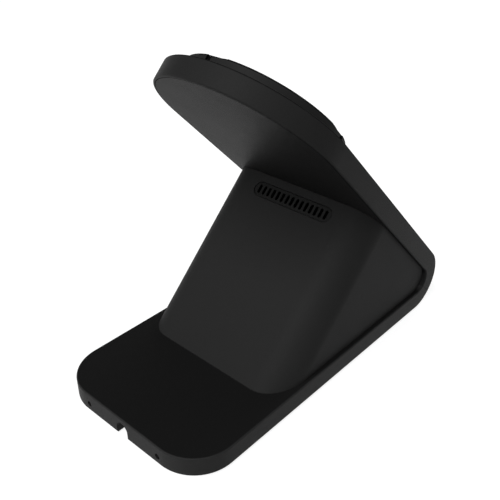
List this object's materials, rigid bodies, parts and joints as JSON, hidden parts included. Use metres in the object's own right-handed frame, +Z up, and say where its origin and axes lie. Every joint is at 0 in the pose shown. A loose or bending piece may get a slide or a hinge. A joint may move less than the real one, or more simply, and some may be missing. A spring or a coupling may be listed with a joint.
{
  "type": "tablet charging station",
  "caption": "Desk charging station with a folded strip body, a leaning round head, a wedge housing in the fold and a magnetic dock with sprung contacts.",
  "frame": {"origin": "on the table under the middle of the base, midway between the back edge and the front of the bend", "axes": "+Z up, +Y towards the back edge of the base, -Y towards the person who uses the tablet, +X across"},
  "size_m": [0.105, 0.2124, 0.1768],
  "materials": {
    "strip": "matte black powder coat on cast metal",
    "housing": "matte black moulding",
    "dock": "satin black moulding",
    "face": "satin black disc",
    "cover": "black painted sheet",
    "ballast": "plain bar",
    "rubber": "dull rubber",
    "screws": "dark plated",
    "boards": "green board with solder mask",
    "components": "dull dark components",
    "ribbon": "flat white cable",
    "socket": "pressed shell",
    "magnets": "nickel plated",
    "springs": "drawn wire",
    "contacts": "gold plated"
  },
  "bodies": {
    "station": {"base_tray": "strip", "back_plate": "strip", "housing_shell": "housing", "vent_grille": "housing", "dock_ring": "dock", "contact_block": "dock", "dock_face": "face", "bottom_cover": "cover", "ballast_bars": "ballast", "rubber_feet": "rubber", "plate_screws": "screws", "cover_screws": "screws", "inlet_screws": "screws", "board_screws": "screws", "housing_screws": "screws", "contact_screws": "screws", "dock_screws": "screws", "inlet_board": "boards", "main_board": "boards", "contact_board": "boards", "transformer": "components", "capacitors": "components", "ribbon_connector": "components", "board_header": "components", "ribbon_cable": "ribbon", "power_socket": "socket", "dock_magnets": "magnets", "contact_spring_1": "springs", "contact_spring_2": "springs", "contact_spring_3": "springs", "contact_spring_4": "springs", "contact_spring_5": "springs"},
    "contact_1": {"contact_pin_1": "contacts"},
    "contact_2": {"contact_pin_2": "contacts"},
    "contact_3": {"contact_pin_3": "contacts"},
    "contact_4": {"contact_pin_4": "contacts"},
    "contact_5": {"contact_pin_5": "contacts"}
  },
  "joints": [
    {"name": "contact_slide_1", "type": "slide", "parent": "station", "child": "contact_1", "axis": [0, 0.7071, -0.7071], "range_m": [0, 0.0012], "stiffness_N_per_m": 500, "springref_m": -0.0006, "deforming": ["contact_spring_1"]},
    {"name": "contact_slide_2", "type": "slide", "parent": "station", "child": "contact_2", "axis": [0, 0.7071, -0.7071], "range_m": [0, 0.0012], "stiffness_N_per_m": 500, "springref_m": -0.0006, "deforming": ["contact_spring_2"]},
    {"name": "contact_slide_3", "type": "slide", "parent": "station", "child": "contact_3", "axis": [0, 0.7071, -0.7071], "range_m": [0, 0.0012], "stiffness_N_per_m": 500, "springref_m": -0.0006, "deforming": ["contact_spring_3"]},
    {"name": "contact_slide_4", "type": "slide", "parent": "station", "child": "contact_4", "axis": [0, 0.7071, -0.7071], "range_m": [0, 0.0012], "stiffness_N_per_m": 500, "springref_m": -0.0006, "deforming": ["contact_spring_4"]},
    {"name": "contact_slide_5", "type": "slide", "parent": "station", "child": "contact_5", "axis": [0, 0.7071, -0.7071], "range_m": [0, 0.0012], "stiffness_N_per_m": 500, "springref_m": -0.0006, "deforming": ["contact_spring_5"]}
  ]
}
